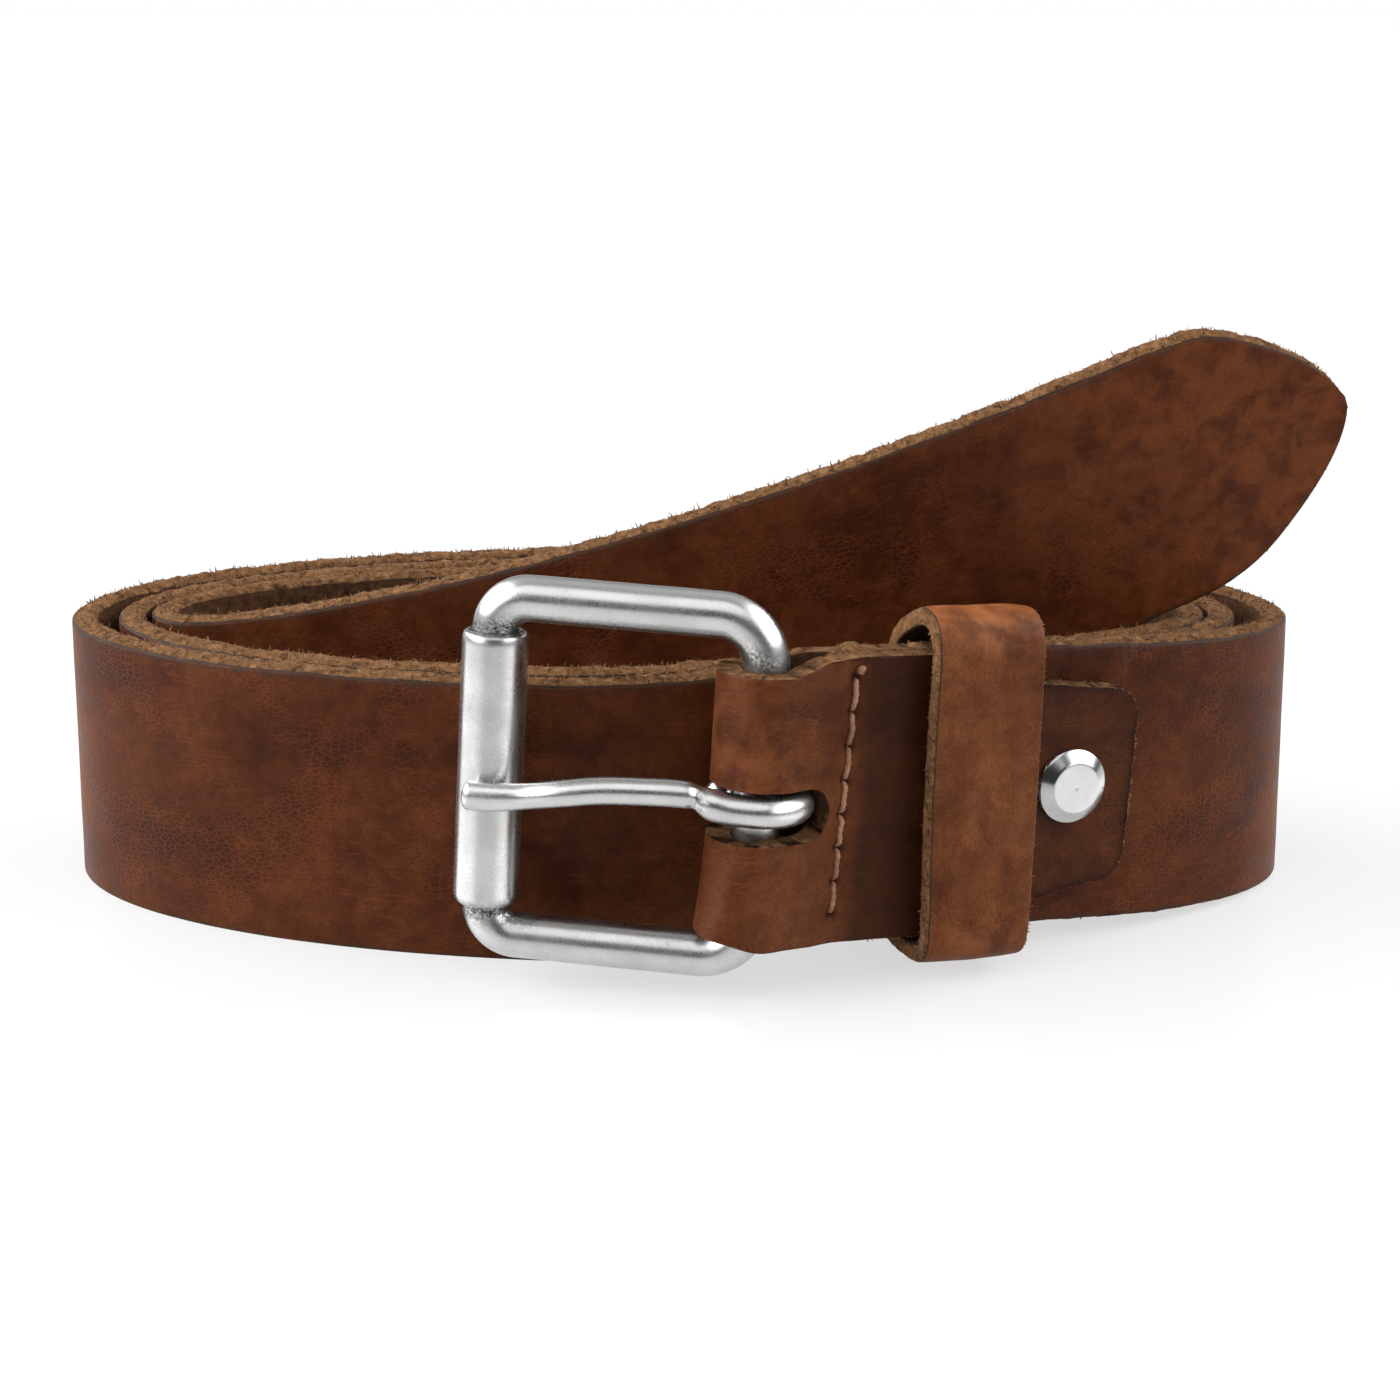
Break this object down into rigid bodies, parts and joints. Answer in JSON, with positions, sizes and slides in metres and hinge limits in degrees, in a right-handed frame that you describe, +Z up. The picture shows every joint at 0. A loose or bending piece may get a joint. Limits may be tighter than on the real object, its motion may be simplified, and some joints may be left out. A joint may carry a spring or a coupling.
{
  "type": "leather belt",
  "caption": "Coiled full-grain leather belt standing on its edge, with a roller buckle and prong on a screwed chape and a loose leather keeper.",
  "frame": {"origin": "middle of the belt's footprint box, on the surface that it stands on", "axes": "+Z up, across the strap's width where it is coiled; +X along the long way of the coil, towards the tip; +Y away from the buckle"},
  "size_m": [0.1898, 0.098, 0.0832],
  "materials": {
    "strap_leather": "cognac-brown full grain, waxy pull-up, raw tan cut edge",
    "chape_leather": "same leather, creased and paler where it folds, dark rim on the tongue",
    "keeper_leather": "same leather, mottled, paler over its bend",
    "thread": "waxed tan thread",
    "nickel": "satin antique nickel, finely pitted",
    "steel": "polished steel"
  },
  "bodies": {
    "strap": {"strap": "strap_leather", "chape": "chape_leather", "front_thread": "thread", "back_thread": "thread", "screw_post": "steel", "screw": "steel"},
    "keeper": {"keeper_loop": "keeper_leather", "keeper_staples": "steel"},
    "buckle": {"buckle_frame": "nickel"},
    "roller": {"roller": "nickel"},
    "prong": {"prong": "nickel"}
  },
  "joints": [
    {"name": "keeper_slide", "type": "slide", "parent": "strap", "child": "keeper", "axis": [0.9272, 0.3652, -0.0837], "range_m": [-0.012, 0.0018]},
    {"name": "buckle_swing", "type": "hinge", "parent": "strap", "child": "buckle", "pos_m": [0.009, -0.04105, 0.02773], "axis": [0.0605, 0.0745, 0.9954], "range_deg": [0, 60]},
    {"name": "roller_spin", "type": "hinge", "parent": "buckle", "child": "roller", "pos_m": [-0.02658, -0.03627, 0.03064], "axis": [0.0605, 0.0745, 0.9954], "continuous": true},
    {"name": "prong_swing", "type": "hinge", "parent": "buckle", "child": "prong", "pos_m": [0.009, -0.04105, 0.02773], "axis": [0.0605, 0.0745, 0.9954], "range_deg": [0, 55]}
  ]
}
